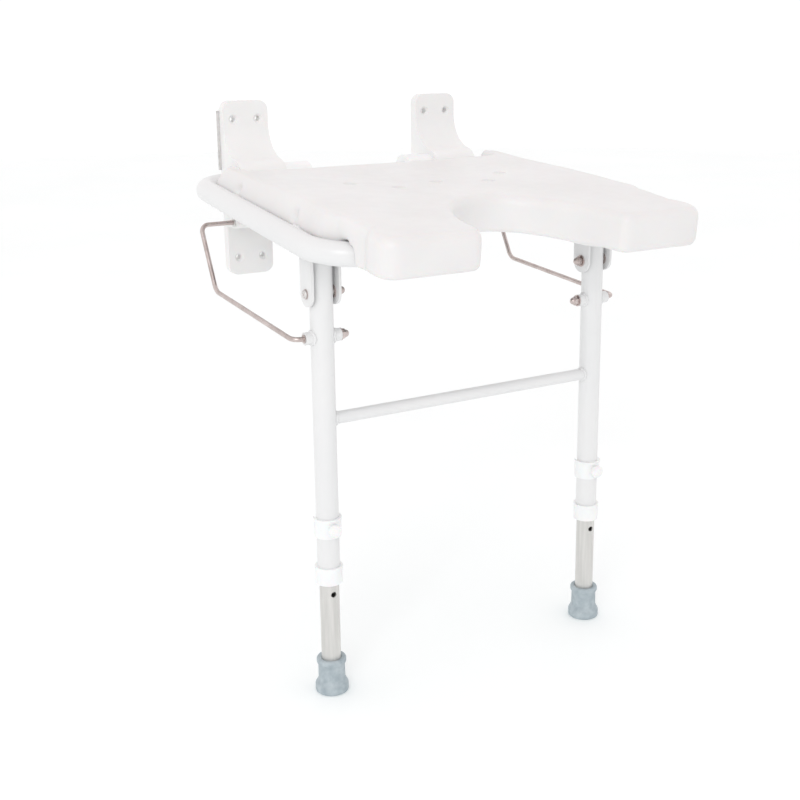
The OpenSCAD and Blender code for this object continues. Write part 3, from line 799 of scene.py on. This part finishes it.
def knobs():
    """The locking pins, each with a domed knob that has a finger rim."""
    shank = 0.003
    for side, sign in SIDES:
        low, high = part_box(f"{side}_height_pin")
        r = (high.x - low.x) / 2
        tip = high.y - low.y
        profile = [(shank - 0.0004, 0), (shank, 0.0004), (shank, tip - 0.0070), (r - 0.0012, tip - 0.0070),
                   (r - 0.0002, tip - 0.0064), (r, tip - 0.0052), (r, tip - 0.0030),
                   (r - 0.0005, tip - 0.0018), (r - 0.0014, tip - 0.0012), (r - 0.0022, tip - 0.0016),
                   (r - 0.0032, tip - 0.0010), (0.0026, tip - 0.0002), (0.0008, tip)]
        knob = lathe(f"{side}_pin_knob", profile, (sign * LEG_X, high.y, PIN_Z), (0, -1, 0))
        piece(knob, f"{side}_clip", "white_nylon", f"{side}_height_pin")


def feet():
    """Rubber feet: a ringed base with a tread underneath, a waisted cup and a rolled lip."""
    base = extent("right_foot").x / 2
    tall = extent("right_foot").z
    cup = INNER_R + 0.0043
    tread = 0.0014
    sole = 0.0002
    profile = [(0.0010, tread)]
    for start in (0.0040, 0.0108):
        profile += [(start, tread), (start + 0.0006, sole), (start + 0.0036, sole), (start + 0.0042, tread)]
    profile += [(0.0162, tread), (0.0166, 0.0), (base - 0.0016, 0.0), (base - 0.0004, 0.0008),
                (base, 0.0022), (base, 0.0082), (base - 0.0005, 0.0096), (base - 0.0020, 0.0112),
                (cup + 0.0014, 0.0128), (cup + 0.0003, 0.0142), (cup, 0.0160),
                (cup - 0.0002, tall - 0.0082), (cup + 0.0002, tall - 0.0072),
                (cup + 0.0011, tall - 0.0063), (cup + 0.0015, tall - 0.0050),
                (cup + 0.0015, tall - 0.0018), (cup + 0.0009, tall - 0.0006), (cup + 0.0001, tall),
                (INNER_R + 0.0010, tall - 0.0002), (INNER_R + 0.0001, tall - 0.0010),
                (INNER_R + 0.0001, 0.0062), (0.0010, 0.0062)]
    for side, sign in SIDES:
        foot = lathe(f"{side}_rubber_foot", profile, (sign * LEG_X, LEG_Y, FLOOR_Z), (0, 0, 1), 72)
        piece(foot, f"{side}_inner_leg", "grey_rubber", f"{side}_foot")


# The width and the segments of the rounding on the edges of CAD pieces that are shown.
CAD_ROUNDS = {"wall_bracket": (0.0028, 4), "pin_collar": (0.0007, 2), "lower_collar": (0.0008, 3),
              "leg_clevis": (0.0006, 2), "back_plate": (0.0003, 2), "rod_eye": (0.0003, 2)}


def soften_cad():
    """Rounds the moulded and pressed edges of the CAD pieces that are shown."""
    for word, (width, segments) in CAD_ROUNDS.items():
        for side, sign in SIDES:
            obj = frame["nodes"][f"{side}_{word}"]
            flat = obj.modifiers.new("flat", "DECIMATE")
            flat.decimate_type = "DISSOLVE"
            flat.angle_limit = math.radians(1)
            soften(obj, width, segments)


# ---------------------------------------------------------------- camera, floor and light

CAMERA_AT = Vector((-0.7168, -1.4281, 0.1747))
CAMERA_AZIMUTH = math.radians(-29.37)
CAMERA_ELEVATION = math.radians(14.12)
CAMERA_ROLL = math.radians(-0.72)
CAMERA_LENS = 53.8
CAMERA_SHIFT_Y = -0.069

FLOOR_R = 7.0
KEY_AT = (-1.9, -2.3, 1.2)
KEY_AIM = (0, -0.22, -0.15)
KEY_SIZE = 1.2
KEY_WATTS = 18

# The surround is dimmer on the camera's side and brighter behind the seat, and pinker from above.
BRIGHT_WAY = (0.43, 0.90, 0.0)
DIM, BRIGHT = 0.90, 1.06
PINK = (1.0, 0.965, 0.965, 1)


def camera():
    """The photograph's viewpoint: from the front left, a little above the seat."""
    data = bpy.data.cameras.new("camera")
    data.lens = CAMERA_LENS
    data.sensor_width = 36.0
    data.shift_y = CAMERA_SHIFT_Y
    obj = bpy.data.objects.new("camera", data)
    bpy.context.scene.collection.objects.link(obj)
    turn = (Matrix.Rotation(CAMERA_AZIMUTH, 4, "Z")
            @ Matrix.Rotation(math.pi / 2 - CAMERA_ELEVATION, 4, "X")
            @ Matrix.Rotation(CAMERA_ROLL, 4, "Z"))
    obj.matrix_world = Matrix.Translation(CAMERA_AT) @ turn
    bpy.context.scene.camera = obj


def floor():
    """A plain pale floor under the feet. Its faint blue glow makes up for the pink light above."""
    rings = 48
    verts = []
    for k in range(rings):
        a = 2 * math.pi * k / rings
        verts.append(Vector((FLOOR_R * math.cos(a), FLOOR_R * math.sin(a), FLOOR_Z)))
    obj = mesh_object("floor", verts, [tuple(range(rings))], smooth=False)
    f = Finish("floor_paint", Specular_IOR_Level=0.2, Emission_Color=(0.66, 1, 1, 1), Emission_Strength=0.075)
    f.colour(f.noise(3, 3), (0.93, 0.93, 0.93), (0.95, 0.95, 0.95))
    f.rough(f.noise(20, 3), 0.6, 0.7)
    obj.data.materials.append(f.material)


def key_light():
    """A square softbox from the front left, which looks at the middle of the seat."""
    data = bpy.data.lights.new("key", "AREA")
    data.shape = "SQUARE"
    data.size = KEY_SIZE
    data.energy = KEY_WATTS
    obj = bpy.data.objects.new("key", data)
    bpy.context.scene.collection.objects.link(obj)
    obj.rotation_euler = (Vector(KEY_AIM) - Vector(KEY_AT)).to_track_quat("-Z", "Y").to_euler()
    obj.location = KEY_AT


def surround():
    """A white studio world, whose strength and tint depend on the direction."""
    world = bpy.data.worlds.new("studio")
    world.use_nodes = True
    tree = world.node_tree
    light = tree.nodes["Background"]
    direction = tree.nodes.new("ShaderNodeTexCoord").outputs["Generated"]
    towards = tree.nodes.new("ShaderNodeVectorMath")
    towards.operation = "DOT_PRODUCT"
    towards.inputs[1].default_value = BRIGHT_WAY
    spread = tree.nodes.new("ShaderNodeMapRange")
    spread.inputs["From Min"].default_value = -1.0
    spread.inputs["From Max"].default_value = 0.6
    spread.inputs["To Min"].default_value = DIM
    spread.inputs["To Max"].default_value = BRIGHT
    tree.links.new(direction, towards.inputs[0])
    tree.links.new(towards.outputs["Value"], spread.inputs["Value"])
    tree.links.new(spread.outputs["Result"], light.inputs["Strength"])
    height = tree.nodes.new("ShaderNodeSeparateXYZ")
    tint = tree.nodes.new("ShaderNodeValToRGB")
    tint.color_ramp.elements[0].position = 0.25
    tint.color_ramp.elements[0].color = (1.0, 1.0, 1.0, 1)
    tint.color_ramp.elements[1].position = 0.8
    tint.color_ramp.elements[1].color = PINK
    tree.links.new(direction, height.inputs[0])
    tree.links.new(height.outputs["Z"], tint.inputs["Fac"])
    tree.links.new(tint.outputs["Color"], light.inputs["Color"])
    bpy.context.scene.world = world


# ---------------------------------------------------------------- making

bpy.context.scene.view_settings.view_transform = "Standard"
camera()
floor()
key_light()
surround()
dress_cad()
seat_cushion()
leg_welds()
frame_welds()
fasteners()
knobs()
feet()
soften_cad()
